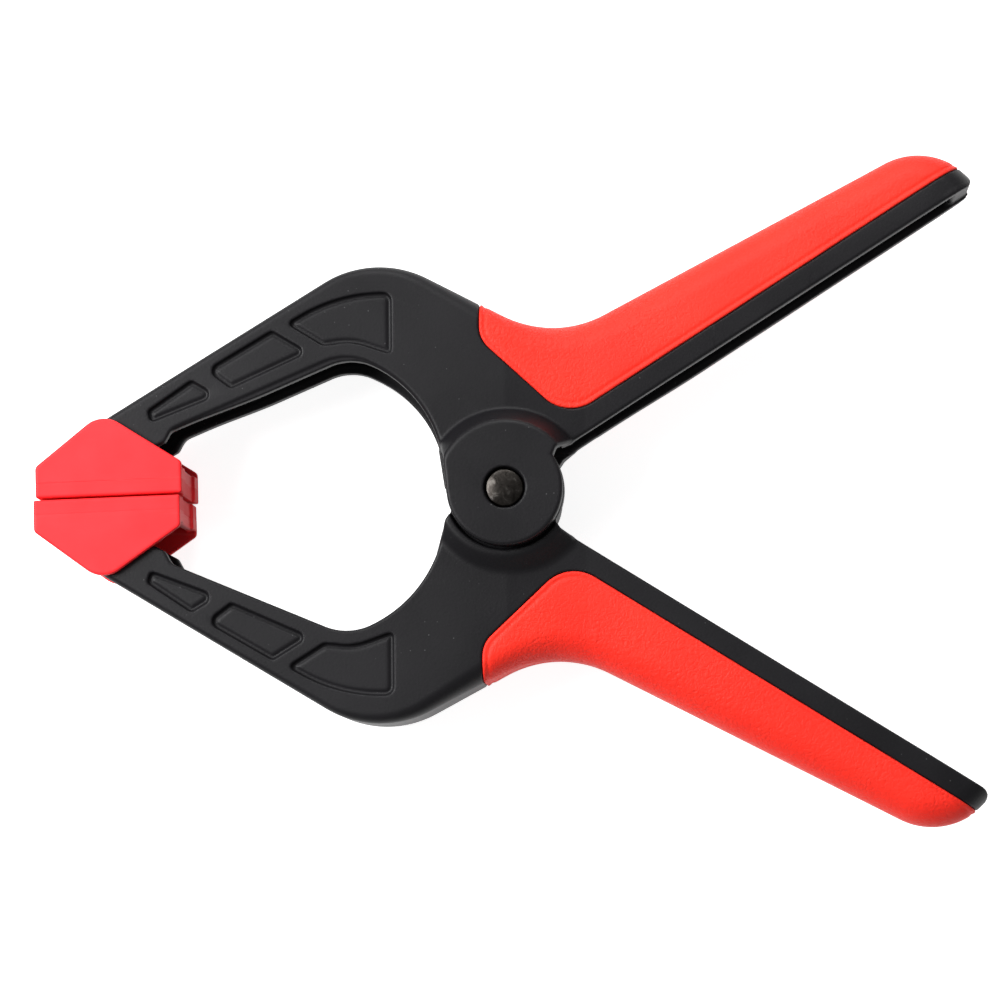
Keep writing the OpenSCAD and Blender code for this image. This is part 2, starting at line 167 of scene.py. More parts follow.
def polygon_distance(points, X, Y):
    """Signed distance of each place in the grid from a closed outline, less than 0 inside."""
    x, y = X.ravel(), Y.ravel()
    best = np.full(x.size, 1e12)
    inside = np.zeros(x.size, bool)
    for (ax, ay), (bx, by) in zip(points, np.roll(points, -1, 0)):
        ex, ey = bx - ax, by - ay
        long2 = ex * ex + ey * ey
        if long2 < 1e-12:
            continue
        t = np.clip(((x - ax) * ex + (y - ay) * ey) / long2, 0, 1)
        best = np.minimum(best, (x - ax - t * ex) ** 2 + (y - ay - t * ey) ** 2)
        if ay != by:
            inside ^= ((ay > y) != (by > y)) & (x < ex * (y - ay) / ey + ax)
    d = np.sqrt(best)
    return np.where(inside, -d, d).reshape(X.shape).astype(np.float32)


def smoothstep(v, a, b):
    t = np.clip((v - a) / (b - a), 0, 1)
    return t * t * (3 - 2 * t)


# ---- Distance fields ---------------------------------------------------------------------------


def both(a, b, r=0.0):
    """Where a and b are both inside, with the edge between them rounded to radius r."""
    if np.ndim(r) == 0 and r <= 0:
        return np.maximum(a, b)
    u, v = np.maximum(a + r, 0), np.maximum(b + r, 0)
    return np.minimum(-r, np.maximum(a, b)) + np.sqrt(u * u + v * v)


def either(a, b, r=0.0):
    """Where a or b is inside, with a fillet of radius r in the corner between them."""
    return -both(-a, -b, r)


def without(a, b, r=0.0):
    return both(a, -b, r)


CELL_CORNERS = [(a, b, c) for a in (0, 1) for b in (0, 1) for c in (0, 1)]


def mesh_of(field, low, pitch):
    """The surface where the field is 0, as (vertices, quads)."""
    solid = field < 0
    nx, ny, nz = field.shape
    count = np.zeros((nx - 1, ny - 1, nz - 1), np.uint8)
    for dx, dy, dz in CELL_CORNERS:
        count += solid[dx : nx - 1 + dx, dy : ny - 1 + dy, dz : nz - 1 + dz]
    cells = np.argwhere((count > 0) & (count < 8))
    number = np.full(count.shape, -1, np.int32)
    number[tuple(cells.T)] = np.arange(len(cells))
    i, j, k = cells.T
    value = {s: field[i + s[0], j + s[1], k + s[2]].astype(float) for s in CELL_CORNERS}
    # each cell's vertex starts at the mean of the places where the surface cuts the cell's edges
    total = np.zeros((len(cells), 3))
    hits = np.zeros(len(cells))
    for s in CELL_CORNERS:
        for axis in range(3):
            if s[axis]:
                continue
            t = tuple(1 if n == axis else s[n] for n in range(3))
            a, b = value[s], value[t]
            cut = (a < 0) != (b < 0)
            share = np.where(cut, a / np.where(cut, a - b, 1), 0)
            for n in range(3):
                total[:, n] += np.where(cut, share if n == axis else s[n], 0)
            hits += cut
    local = total / hits[:, None]
    # then it moves onto the surface along the field's slope, and is kept off the cell's walls
    for _ in range(3):
        u, v, w = local.T
        here = np.zeros(len(cells))
        slope = np.zeros((len(cells), 3))
        for s in CELL_CORNERS:
            wu, wv, ww = (u if s[0] else 1 - u), (v if s[1] else 1 - v), (w if s[2] else 1 - w)
            here += value[s] * wu * wv * ww
            slope[:, 0] += value[s] * (1 if s[0] else -1) * wv * ww
            slope[:, 1] += value[s] * wu * (1 if s[1] else -1) * ww
            slope[:, 2] += value[s] * wu * wv * (1 if s[2] else -1)
        size2 = np.maximum((slope**2).sum(1), 1e-9)
        local = np.clip(local - slope * (here / size2)[:, None], 0.02, 0.98)
    verts = np.array(low) + (cells + local) * pitch
    quads = []
    for axis in range(3):
        a = solid[: nx - 1] if axis == 0 else solid[:, : ny - 1] if axis == 1 else solid[:, :, : nz - 1]
        b = solid[1:] if axis == 0 else solid[:, 1:] if axis == 1 else solid[:, :, 1:]
        p = np.argwhere(a != b)
        m, n = (axis + 1) % 3, (axis + 2) % 3
        p = p[(p[:, m] > 0) & (p[:, n] > 0)]
        out = a[tuple(p.T)]
        ring = []
        for dm, dn in ((1, 1), (0, 1), (0, 0), (1, 0)):
            q = p.copy()
            q[:, m] -= dm
            q[:, n] -= dn
            ring.append(number[tuple(q.T)])
        ring = np.array(ring).T
        ring[~out] = ring[~out][:, ::-1]
        quads.append(ring)
    return verts, np.concatenate(quads)


NORMAL_STEP = 0.6          # how far to each side the slope is measured, in cells


def field_normals(field, low, pitch, points):
    """The outward direction at points near the surface, from the field around each point."""
    out = np.zeros_like(points)
    for axis in range(3):
        ends = []
        for side in (1, -1):
            at = (points - np.array(low)) / pitch
            at[:, axis] += side * NORMAL_STEP
            at = np.clip(at, 0, np.array(field.shape) - 1.001)
            base = at.astype(int)
            u, v, w = (at - base).T
            i, j, k = base.T
            total = 0
            for a, b, c in CELL_CORNERS:
                near = field[i + a, j + b, k + c]
                total = total + near * (u if a else 1 - u) * (v if b else 1 - v) * (w if c else 1 - w)
            ends.append(total)
        out[:, axis] = ends[0] - ends[1]
    return out / np.maximum(np.linalg.norm(out, axis=1), 1e-9)[:, None]


def mesh_object(name, verts, faces, smooth):
    """An object with a mesh of those vertices and faces, linked into the scene."""
    mesh = bpy.data.meshes.new(name)
    mesh.from_pydata(verts, [], faces)
    mesh.polygons.foreach_set("use_smooth", [smooth] * len(mesh.polygons))
    mesh.update()
    obj = bpy.data.objects.new(name, mesh)
    bpy.context.scene.collection.objects.link(obj)
    return obj


def thin_out(obj, share):
    """Leaves about that share of the object's triangles."""
    thin = obj.modifiers.new("thin", "DECIMATE")
    thin.ratio = share
    graph = bpy.context.evaluated_depsgraph_get()
    mesh = bpy.data.meshes.new_from_object(obj.evaluated_get(graph))
    obj.modifiers.clear()
    obj.data = mesh


def moulding(name, field, low, pitch, most, place=None):
    """A mesh object of the field's surface, with about that many triangles at most.

    place moves it, in millimetres, before it is brought to metres.
    """
    verts, quads = mesh_of(field, low, pitch)
    obj = mesh_object(name, verts.tolist(), quads.tolist(), False)
    triangles = len(quads) * 2
    if triangles > most:
        thin_out(obj, most / triangles)
    mesh = obj.data
    co = np.zeros(len(mesh.vertices) * 3, np.float32)
    mesh.vertices.foreach_get("co", co)
    co = co.reshape(-1, 3).astype(float)
    normals = field_normals(field, low, pitch, co)
    if place is not None:
        turn = np.array(place)[:3, :3]
        co = co @ turn.T + np.array(place)[:3, 3]
        normals = normals @ turn.T
    mesh.vertices.foreach_set("co", (co * MM).astype(np.float32).ravel())
    mesh.polygons.foreach_set("use_smooth", [True] * len(mesh.polygons))
    mesh.update()
    mesh.normals_split_custom_set_from_vertices(normals.tolist())
    mesh.name = name
    return obj


def grid(low, high, pitch):
    """X and Y of a box of sample points, and their heights Z, which lie along a third axis."""
    axes = [np.arange(a, b + pitch, pitch, dtype=np.float64) for a, b in zip(low, high)]
    X, Y = np.meshgrid(axes[0], axes[1], indexing="ij")
    return X, Y, axes[2].astype(np.float32)[None, None, :]


def deep(a):
    """A plane field, made ready to be combined with heights."""
    return np.asarray(a, np.float32)[:, :, None]


# half a turn about the line where the arms' middle plane meets the plane of the closed jaws
TURNED_OVER = Matrix.Translation((0, 0, HUB_H)) @ Matrix.Rotation(math.pi, 4, "X")

# ---- Outlines of the upper arm -----------------------------------------------------------------

PAD_PIN = (-81.5, 10.0)
NOSE_R = 4.6
NOSE_SLOPE = math.radians(28)
NOSE_X = PAD_PIN[0] - NOSE_R
NOSE_LOW = PAD_PIN[1] - NOSE_R * (math.tan(NOSE_SLOPE) + 1 / math.cos(NOSE_SLOPE))
NOSE_TOP = (NOSE_X, 13.6, 2)
ELBOW = (-26.5, 49.8, 21.5)
VALLEY = (9.5, 31, 23)
TIP = (87, 71.5, 14)
HEEL = (96.5, 62.2, 2)
ROOT = (12.8, 9.3, 0)
ARM = [                    # x, y and rounding of each corner, clockwise
    (-12.8, 8, 0),
    (-16, 21, 26),
    (-32, 29, 11.5),
    (-68, 13.8, 3),
    (-69.4, 11.2, 1),
    (NOSE_X, NOSE_LOW, NOSE_R),
    NOSE_TOP,
    ELBOW,
    VALLEY,
    TIP,
    HEEL,
    ROOT,
]

# the channel: open along the inner edges, solid at the nose, and walled on the outer edge
FLANGE = 2.8
OPEN = -8                  # past the outline
NOSE_SOLID = 12
WEB = 3.2
GRIP_WEB = 5.5
CHANNEL_MOVES = [OPEN] * 5 + [NOSE_SOLID, WEB, WEB, GRIP_WEB, GRIP_WEB] + [OPEN] * 2

# the grip: all of the handle but a black strip along its inner edge
HANDLE_SLOPE = (HEEL[1] - ROOT[1]) / (HEEL[0] - ROOT[0])
STRIP_W = 4.5
STRIP = STRIP_W * math.hypot(1, HANDLE_SLOPE)  # measured along Y
TOE_X = 12.5
TOE = (TOE_X, ROOT[1] + (TOE_X - ROOT[0]) * HANDLE_SLOPE + STRIP, 8)
GRIP_START = -5.2
PAST_HANDLE = 110
GRIP_ZONE = [
    (GRIP_START, 31, 6),
    (GRIP_START, 60, 0),
    (PAST_HANDLE, 100, 0),
    (PAST_HANDLE, TOE[1] + (PAST_HANDLE - TOE[0]) * HANDLE_SLOPE, 0),
    TOE,
]
GRIP_T = 1.4
PROUD = 0.15
GRIP_GAP = 0.06
GRIP_LAP = 0.05

# the arm's outer edge, closed far away on the inner side
FAR = 60
end_way = unit(np.subtract(HEEL[:2], TIP[:2]))
far_heel = np.array(TIP[:2]) + end_way * FAR
OUTER_ZONE = [
    (NOSE_X, -FAR, 0),
    NOSE_TOP,
    ELBOW,
    VALLEY,
    TIP,
    (far_heel[0], far_heel[1], 0),
    (far_heel[0], -FAR, 0),
]
CROWN = 0.9                # how far the handle's faces fall away, over CROWN_W
CROWN_W = 13.0
CROWN_FROM = (-12, 14)     # it comes in between these along x
EDGE_ROUNDING = ([-60, -34, -22, -6, 10], [1.3, 1.6, 2.4, 4.0, 6.0])  # radius against x
END_ROUNDING_LESS = 0.6    # at the handle's end
END_FROM = (70, 95)

PANELS = [
    [(-73, 17.6, 0.8), (-64, 23.7, 0.9), (-58.7, 20.5, 1.4), (-72.4, 15.2, 0.8)],
    [(-61, 25.7, 1.6), (-47.5, 33.6, 1), (-40, 29, 1.2), (-55.9, 21.9, 0.8)],
    [(-44.5, 35, 0.8), (-34, 41, 33), (-23, 41, 1.8), (-23, 28.2, 0.8), (-31, 31, 12), (-37, 30.3, 1.5)],
]
PANEL_FLOOR = 8.8          # from the arm's middle plane
PANEL_DRAFT = 0.94
PANEL_LINE = (0.35, 0.55, 0.4)   # fine lines: depth, inset and width
GRIP_LINE = (0.22, 1.15, 0.3)

# ---- Hub, ribs and lips ------------------------------------------------------------------------

# where the boss stands round the arm's own disc, and the rim round the other arm's disc
BOSS_CLIP = [
    (-9, -1), (-11.7, -1), (-12, 3), (-12.4, 6.5), (-13.2, 9.5),
    (-19, 24), (19, 24), (13.4, 9.6), (10.4, 8), (9.8, 6.5), (6, 4),
]
RIM_CLIP = [
    (-11.2, 4.4), (-12.3, 6.1), (-13.2, 9.5),
    (-19, 24), (19, 24), (13.4, 9.6), (11, 8), (10, 6.5), (6, 4),
]
BOSS_FOOT = 24.5
BOSS_R = 16.5              # at BOSS_FOOT, and less by BOSS_TAPER at the top
BOSS_TAPER = 2.9
BOSS_RISE = 5.5
BOSS_SLANT = 0.885         # turns a gap across the pivot axis into one square to the flank
BOSS_LOW = 21.8            # where it ends inside the arm
RIM_FOOT = 3.0
RIM_R = 13.6               # at RIM_FOOT, and more by RIM_TAPER over RIM_RISE
RIM_TAPER = 2.9
RIM_RISE = 2.5
RIM_SLANT = 0.653
RIM_HIGH = 8.3             # where it ends inside the arm
COLLAR_R = 5.0
CAVITY_R = 14.2
EAR = (6.35, 1.95, 0.3)    # round plates: middle height, half thickness, rounding
COLLAR = (7.2, 3.1, 0.4)
CAVITY = (18.3, 7.5, 0.8)
DISC = (28.0, 2.0, 0.65)
UPPER_DISC_R = 11.7
LOWER_DISC_R = 10.4
EAR_OVER_DISC = 0.1
DISC_PLAY = 0.5
DISC_BED = 4.4
PIN_HOLE_R = 3.95
HEAD_R = 4.15
HEAD_BED = 28.8
POCKET_R = 6.8
POCKET_BED = 28.5
PAD_PIN_HOLE_R = 1.55

RIBS = [                   # x, y, angle and length
    (-52.5, 21.5, 31, 12),
    (-27, 29, 0, 16),
    (50, 34.8, 27, 14),
    (66, 44.8, 27, 12),
    (80, 53.7, 27, 11),
]
RIB_HALF_T = 0.9
RIB_HALF_W = 9.0
RIB_BACK = 1.9             # from the arm's skin

# how far the upper arm's inner edges stand out, edge by edge of ARM, and the band that they stay in
REAR_LIP = [1.2, 1.2, 0.6, 0, 0, 0, 0, 0, 0, 0, 0.5, 0]
FRONT_LIP = [0.3, 0.4, 1.1, 0.2, 0, 0, 0, 0, 0, 0, 0, 0]
FRONT_LIP_INSET = 0.4
LIP_BAND = [1, 1, 1, 1, -1, -1, -1, -1, -1, -1, 1, 1]
LIP_GAP = (-12.8, 18)      # no lip between these, at the hub
HUB_FADE = (18, 40)        # the handle's lip is lower by HUB_FADE_BY at the first of these
HUB_FADE_BY = 0.5
PAD_FADE = (-66.5, -48)    # and the jaw's by PAD_FADE_BY
PAD_FADE_BY = 0.75
LIP_FOOT = [(-14.9, 10.5), (-13.7, 2.4), (-9, 2.4), (-9, 10.5)]
LIP_FOOT_Z = 6.9
LIP_FOOT_HALF_T = 1.4

# ---- Arm and grip as fields --------------------------------------------------------------------
# X and Y are the plane, Z the height, W the distance from the middle plane, H half the thickness,
# and ring the distance from the pivot axis. The last number of both, either and without is the
# radius of the rounding or fillet.


def half_thickness(x):
    return np.interp(x, [0, 16, 96.5], [9.5, 8.5, 7.0])


def plate(ring, Z, radius, middle, half, edge):
    """A round plate about the pivot axis."""
    return both(ring - radius, np.abs(Z - middle) - half, edge)


def groove(distance, depth, inset, width):
    """The depth of a fine line that runs inside an outline at that inset."""
    return depth * np.exp(-(((distance + inset) / width) ** 2))


def arm_shell(X, Y, W, H):
    """The arm without its hollows, and what its outer edge and its faces bound."""
    arm = polygon_distance(rounded(ARM), X, Y)
    outer = polygon_distance(rounded(OUTER_ZONE), X, Y)
    # the handle's faces fall away a little towards its outer edge
    across = smoothstep(-outer, 0.0, CROWN_W)
    crown = CROWN * (1 - across) * smoothstep(X, *CROWN_FROM)
    face = deep(H - crown)
    edge_r = np.interp(X, *EDGE_ROUNDING) - END_ROUNDING_LESS * smoothstep(X, *END_FROM)
    envelope = both(deep(outer), W - face, deep(edge_r))
    shell = np.maximum(envelope, both(deep(arm), W - face, 0.5))
    return shell, envelope


def add_ribs(nylon, shell, X, Y, W):
    for x, y, angle, length in RIBS:
        a = math.radians(angle)
        u = (X - x) * math.cos(a) + (Y - y) * math.sin(a)
        v = -(X - x) * math.sin(a) + (Y - y) * math.cos(a)
        bar = np.maximum(np.abs(u) - RIB_HALF_T, np.abs(v - length / 2) - length / 2)
        rib = np.maximum(both(deep(bar), W - RIB_HALF_W, 0.4), shell + RIB_BACK)
        nylon = either(nylon, rib, 0.6)
    return nylon


def add_hub(nylon, ring, X, Y, Z, other_r):
    """The boss and rim, the ear with the coil's collar, and room for the coil and the other disc."""
    flank = (ring - (BOSS_R - (Z - BOSS_FOOT) * BOSS_TAPER / BOSS_RISE)) * BOSS_SLANT
    boss = both(flank, Z - HUB_H, 0.6)
    boss = both(boss, deep(polygon_distance(np.array(BOSS_CLIP, float), X, Y)), 0.6)
    boss = np.maximum(boss, BOSS_LOW - Z)
    nylon = either(nylon, boss, 0.5)
    ear = plate(ring, Z, other_r + EAR_OVER_DISC, *EAR)
    flank = (ring - (RIM_R + (Z - RIM_FOOT) * RIM_TAPER / RIM_RISE)) * RIM_SLANT
    rim = both(flank, RIM_FOOT - Z, 0.35)
    rim = both(rim, deep(polygon_distance(np.array(RIM_CLIP, float), X, Y)), 0.5)
    rim = np.maximum(rim, Z - RIM_HIGH)
    nylon = either(either(nylon, rim, 0.5), ear, 0.4)
    nylon = either(nylon, plate(ring, Z, COLLAR_R, *COLLAR), 0.5)
    nylon = without(nylon, plate(ring, Z, CAVITY_R, *CAVITY), 0.3)
    return without(nylon, both(ring - (other_r + DISC_PLAY), Z - DISC_BED, 0.3), 0.25)


def cut_panels(nylon, X, Y, W):
    """Three recesses in each face of the jaw, each with a fine line round its bottom."""
    for panel in PANELS:
        flat = polygon_distance(rounded(panel), X, Y)
        bottom = deep(PANEL_FLOOR - groove(flat, *PANEL_LINE))
        nylon = without(nylon, both(deep(flat) * PANEL_DRAFT, bottom - W, 0.2), 0.22)
    return nylon


def add_disc(nylon, ring, Z, own_r, has_pocket):
    """The arm's own disc, with the pin's hole and the bed for its head or for its retainer."""
    nylon = either(nylon, plate(ring, Z, own_r, *DISC))
    nylon = without(nylon, np.maximum(ring - PIN_HOLE_R, -Z))
    nylon = without(nylon, both(ring - HEAD_R, HEAD_BED - Z, 0.1), 0.06)
    if has_pocket:
        nylon = without(nylon, both(ring - POCKET_R, POCKET_BED - Z, 0.2), 0.25)
    return nylon


def add_lips(nylon, envelope, H, X, Y, Z, W):
    """Lips on the inner edges of both flanges, lower at the hub and where the pad turns."""
    clear_of_hub = np.minimum(X - LIP_GAP[0], LIP_GAP[1] - X)
    inner = polygon_distance(rounded(moved(ARM, LIP_BAND)), X, Y)
    hub_fade = HUB_FADE_BY * (1 - smoothstep(X, *HUB_FADE)) * (X > 0)
    pad_fade = PAD_FADE_BY * (1 - smoothstep(X, *PAD_FADE))
    for moves, inset, beyond in (
        (REAR_LIP, 0.0, Z - MID_Z),
        (FRONT_LIP, FRONT_LIP_INSET, MID_Z - Z),
    ):
        edge = polygon_distance(rounded(moved(ARM, [-m for m in moves])), X, Y)
        edge = np.maximum(edge + hub_fade + pad_fade, np.maximum(-inner, clear_of_hub))
        edge = both(deep(edge), W - deep(H - inset), 0.3)
        edge = np.maximum(edge, np.maximum(deep(H - FLANGE) - W, beyond))
        edge = np.maximum(edge, envelope)
        nylon = either(nylon, edge, 0.12)
    foot = polygon_distance(np.array(LIP_FOOT, float), X, Y)
    return either(nylon, both(deep(foot), np.abs(Z - LIP_FOOT_Z) - LIP_FOOT_HALF_T, 0.3), 0.2)


def grip_field(shell, zone):
    """The grip: proud of the nylon, with a shallow line moulded round inside its border."""
    skin = shell - PROUD + deep(groove(zone, *GRIP_LINE))
    grip = both(skin, deep(zone) + GRIP_GAP, 0.35)
    return without(grip, shell + GRIP_T - GRIP_LAP)


def arm_fields(own_r, other_r, is_lower, pitch):
    """The nylon arm and its grip, in the upper arm's place, as (arm field, grip field, low corner)."""
    low = (-88.0, -18.0, 1.4)
    X, Y, Z = grid(low, (98.5, 73.0, 31.2), pitch)
    W = np.abs(Z - MID_Z)
    H = half_thickness(X)
    ring = deep(np.hypot(X, Y))
    shell, envelope = arm_shell(X, Y, W, H)
    zone = polygon_distance(rounded(GRIP_ZONE), X, Y)
    # stepped back under the grip
    nylon = either(without(shell, deep(zone), 0.12), shell + GRIP_T)
    channel = polygon_distance(rounded(moved(ARM, CHANNEL_MOVES)), X, Y)
    nylon = without(nylon, both(deep(channel), W - deep(H - FLANGE), 1.0), 0.7)
    nylon = add_ribs(nylon, shell, X, Y, W)
    nylon = add_hub(nylon, ring, X, Y, Z, other_r)
    nylon = cut_panels(nylon, X, Y, W)
    nylon = add_disc(nylon, ring, Z, own_r, is_lower)
    if not is_lower:
        nylon = add_lips(nylon, envelope, H, X, Y, Z, W)
    pad_pin_hole = deep(np.hypot(X - PAD_PIN[0], Y - PAD_PIN[1]) - PAD_PIN_HOLE_R)
    return without(nylon, pad_pin_hole), grip_field(shell, zone), low


# ---- Measures that several parts share, and sizes of the meshes --------------------------------

PAD_TILT = 1.4             # in degrees
PAD_FACE = -9.8
FACING_T = 3.0
PITCH = 0.36
PAD_PITCH = 0.21
MOST_ARM = 160_000         # triangles
MOST_GRIP = 60_000
MOST_PAD = 60_000

# ---- Materials ---------------------------------------------------------------------------------


class Shader:
    """A node tree with short calls, for one material."""

    def __init__(self, name):
        self.material = bpy.data.materials.new(name)
        self.material.use_nodes = True
        self.tree = self.material.node_tree
        self.tree.nodes.clear()
        self.out = self.tree.nodes.new("ShaderNodeOutputMaterial")
        self.bsdf = self.tree.nodes.new("ShaderNodeBsdfPrincipled")
        self.tree.links.new(self.bsdf.outputs[0], self.out.inputs[0])
        self.place = self.tree.nodes.new("ShaderNodeTexCoord").outputs["Object"]

    def node(self, kind, **values):
        n = self.tree.nodes.new(kind)
        for key, value in values.items():
            if key in n.inputs:
                if hasattr(value, "is_output"):
                    self.tree.links.new(value, n.inputs[key])
                else:
                    n.inputs[key].default_value = value
            else:
                setattr(n, key, value)
        return n

    def link(self, a, b):
        self.tree.links.new(a, b)

    def noise(self, size_mm, detail=3, rough=0.5, distortion=0.0, stretch=None):
        place = self.place
        if stretch:
            place = self.node("ShaderNodeMapping", Vector=self.place, Scale=stretch).outputs[0]
        return self.node(
            "ShaderNodeTexNoise",
            Vector=place,
            Scale=1000 / size_mm,
            Detail=detail,
            Roughness=rough,
            Distortion=distortion,
        ).outputs["Fac"]

    def cells(self, size_mm, feature="F1", smooth=0.0, vector=None):
        n = self.tree.nodes.new("ShaderNodeTexVoronoi")
        n.feature = feature
        self.link(vector or self.place, n.inputs["Vector"])
        n.inputs["Scale"].default_value = 1000 / size_mm
        if feature == "SMOOTH_F1":
            n.inputs["Smoothness"].default_value = smooth
        return n

    def ramp(self, value, stops):
        n = self.tree.nodes.new("ShaderNodeValToRGB")
        self.link(value, n.inputs[0])
        e = n.color_ramp.elements
        while len(e) < len(stops):
            e.new(0.5)
        for i, (at, colour) in enumerate(stops):
            e[i].position = at
            e[i].color = colour if len(colour) == 4 else (*colour, 1)
        return n.outputs[0]

    def range(self, value, a, b, c, d):
        return self.node(
            "ShaderNodeMapRange", **{"Value": value, "From Min": a, "From Max": b, "To Min": c, "To Max": d}
        ).outputs[0]

    def mix(self, share, a, b):
        n = self.tree.nodes.new("ShaderNodeMix")
        n.data_type = "RGBA"
        for socket, value in ((n.inputs["Factor"], share), (n.inputs[6], a), (n.inputs[7], b)):
            if hasattr(value, "is_output"):
                self.link(value, socket)
            else:
                socket.default_value = value if isinstance(value, float) else (*value, 1)
        return n.outputs[2]

    def math(self, what, a, b=0.0, c=0.0):
        n = self.tree.nodes.new("ShaderNodeMath")
        n.operation = what
        for socket, value in zip(n.inputs, (a, b, c)):
            if hasattr(value, "is_output"):
                self.link(value, socket)
            else:
                socket.default_value = value
        return n.outputs[0]

    def weighed(self, a, share_a, b, share_b):
        return self.math("ADD", self.math("MULTIPLY", a, share_a), self.math("MULTIPLY", b, share_b))

    def bump(self, height, depth_mm, strength=1.0, under=None):
        n = self.node("ShaderNodeBump", Height=height, Strength=strength, Distance=depth_mm * MM)
        if under is not None:
            self.link(under, n.inputs["Normal"])
        return n.outputs[0]

    def set(self, **values):
        for key, value in values.items():
            socket = self.bsdf.inputs[key.replace("_", " ")]
            if hasattr(value, "is_output"):
                self.link(value, socket)
            else:
                socket.default_value = (*value, 1) if isinstance(value, tuple) and len(value) == 3 else value
        return self.material


def nylon_material():
    s = Shader("black_nylon")
    grain = s.noise(0.34, 4, 0.62)
    broad = s.noise(22, 3, 0.55)
    # rare pale specks of dust
    spot = s.range(s.cells(1.9).outputs["Distance"], 0.0, 0.085, 1.0, 0.0)
    rare = s.range(s.noise(5, 1), 0.49, 0.56, 0.0, 1.0)
    dust = s.math("MULTIPLY", spot, rare)
    shade = s.math("MULTIPLY_ADD", grain, 0.35, s.math("MULTIPLY", broad, 0.65))
    base = s.ramp(shade, [(0.32, (0.0046, 0.0043, 0.0053)), (0.68, (0.0082, 0.0077, 0.0091))])
    colour = s.mix(s.math("MULTIPLY", dust, 0.55), base, (0.16, 0.16, 0.165))
    rough = s.range(s.weighed(grain, 0.5, broad, 0.5), 0.3, 0.7, 0.42, 0.54)
    fine = s.bump(grain, 0.035, 0.7)
    hide = s.cells(0.62, "SMOOTH_F1", 0.7).outputs["Distance"]
    normal = s.bump(hide, 0.03, 0.35, fine)
    return s.set(Base_Color=colour, Roughness=rough, Normal=normal, Specular_IOR_Level=0.2)


def grip_material():
    s = Shader("red_elastomer")
    warp = s.node("ShaderNodeTexNoise", Vector=s.place, Scale=650.0, Detail=2.0)
    bent = s.node("ShaderNodeMix", data_type="RGBA", blend_type="LINEAR_LIGHT")
    bent.inputs["Factor"].default_value = 0.0009
    s.link(s.place, bent.inputs[6])
    s.link(warp.outputs["Color"], bent.inputs[7])
    hide = s.cells(0.7, "SMOOTH_F1", 0.4, bent.outputs[2]).outputs["Distance"]
    creases = s.cells(1.15, "DISTANCE_TO_EDGE", 0, bent.outputs[2]).outputs["Distance"]
    pores = s.noise(0.28, 3, 0.6)
    broad = s.noise(16, 3, 0.5)
    where = s.range(s.noise(30, 2, 0.5), 0.38, 0.62, 0.35, 1.0)
    tone = s.ramp(broad, [(0.3, (0.86, 0.020, 0.009)), (0.7, (0.93, 0.027, 0.0125))])
    crease = s.range(creases, 0.0, 0.09, 1.0, 0.0)
    # painted shade: the creases are painted darker where they show, as well as pressed in by the bump
    colour = s.mix(s.math("MULTIPLY", s.math("MULTIPLY", crease, where), 0.22), tone, (0.62, 0.018, 0.012))
    rough = s.range(pores, 0.3, 0.7, 0.5, 0.62)
    depth = s.math("MULTIPLY", s.math("SUBTRACT", hide, s.math("MULTIPLY", crease, 0.35)), where)
    normal = s.bump(depth, 0.13, 0.8, s.bump(pores, 0.02, 0.6))
    return s.set(
        Base_Color=colour, Roughness=rough, Normal=normal, Specular_IOR_Level=0.26,
        Sheen_Weight=0.1, Sheen_Roughness=0.35, Sheen_Tint=(1.0, 0.6, 0.52),
    )


def off_seam(s):
    """How far a place is from the seam between a pad and its facing, in metres."""
    x, y, _ = s.node("ShaderNodeSeparateXYZ", Vector=s.place).outputs
    tilt = math.radians(PAD_TILT)
    up = s.math("MULTIPLY", s.math("ABSOLUTE", y), math.cos(tilt))
    up = s.math("SUBTRACT", up, PAD_PIN[1] * MM * math.cos(tilt))
    lean = s.math("MULTIPLY_ADD", x, math.sin(tilt), -PAD_PIN[0] * MM * math.sin(tilt))
    across = s.math("SUBTRACT", up, lean)
    return s.math("ABSOLUTE", s.math("SUBTRACT", across, (PAD_FACE + FACING_T + 0.1) * MM))


def pad_material(name, softer):
    """Red plastic, or the facing's rubber, which is rougher by that much."""
    s = Shader(name)
    broad = s.noise(9, 3, 0.5)
    streak = s.noise(5.5, 4, 0.6, 0.0, (0.09, 1.6, 1.0))
    fine = s.noise(0.22, 2, 0.5)
    tone = s.ramp(broad, [(0.3, (0.93, 0.021, 0.026)), (0.7, (0.985, 0.028, 0.034))])
    rub = s.range(streak, 0.66, 0.74, 0.0, 0.5)
    colour = s.mix(rub, tone, (1.0, 0.11, 0.11))
    # a faint painted highlight along the seam: a lighter line, broken up by the streaks
    on_seam = s.range(off_seam(s), 0.06 * MM, 0.16 * MM, 1.0, 0.0)
    seam_highlight = s.math("MULTIPLY", on_seam, s.range(streak, 0.42, 0.58, 0.0, 0.5))
    colour = s.mix(seam_highlight, colour, (1.0, 0.14, 0.14))
    wear = s.weighed(fine, 0.4, streak, 0.6)
    rough = s.range(wear, 0.3, 0.7, 0.42 + softer, 0.54 + softer)
    normal = s.bump(fine, 0.012, 0.5, s.bump(streak, 0.02, 0.3))
    return s.set(Base_Color=colour, Roughness=rough, Normal=normal, Specular_IOR_Level=0.17)


def pin_material():
    s = Shader("gunmetal")
    blotch = s.noise(1.5, 4, 0.6, 0.6)
    fine = s.noise(0.12, 3, 0.6)
    dark, mid, bright = (0.02, 0.018, 0.016), (0.038, 0.034, 0.031), (0.1, 0.093, 0.086)
    colour = s.ramp(blotch, [(0.32, dark), (0.55, mid), (0.72, bright)])
    rough = s.range(s.weighed(blotch, 0.6, fine, 0.4), 0.3, 0.7, 0.24, 0.42)
    normal = s.bump(blotch, 0.05, 0.5, s.bump(fine, 0.008, 0.5))
    return s.set(Base_Color=colour, Metallic=1.0, Roughness=rough, Normal=normal)


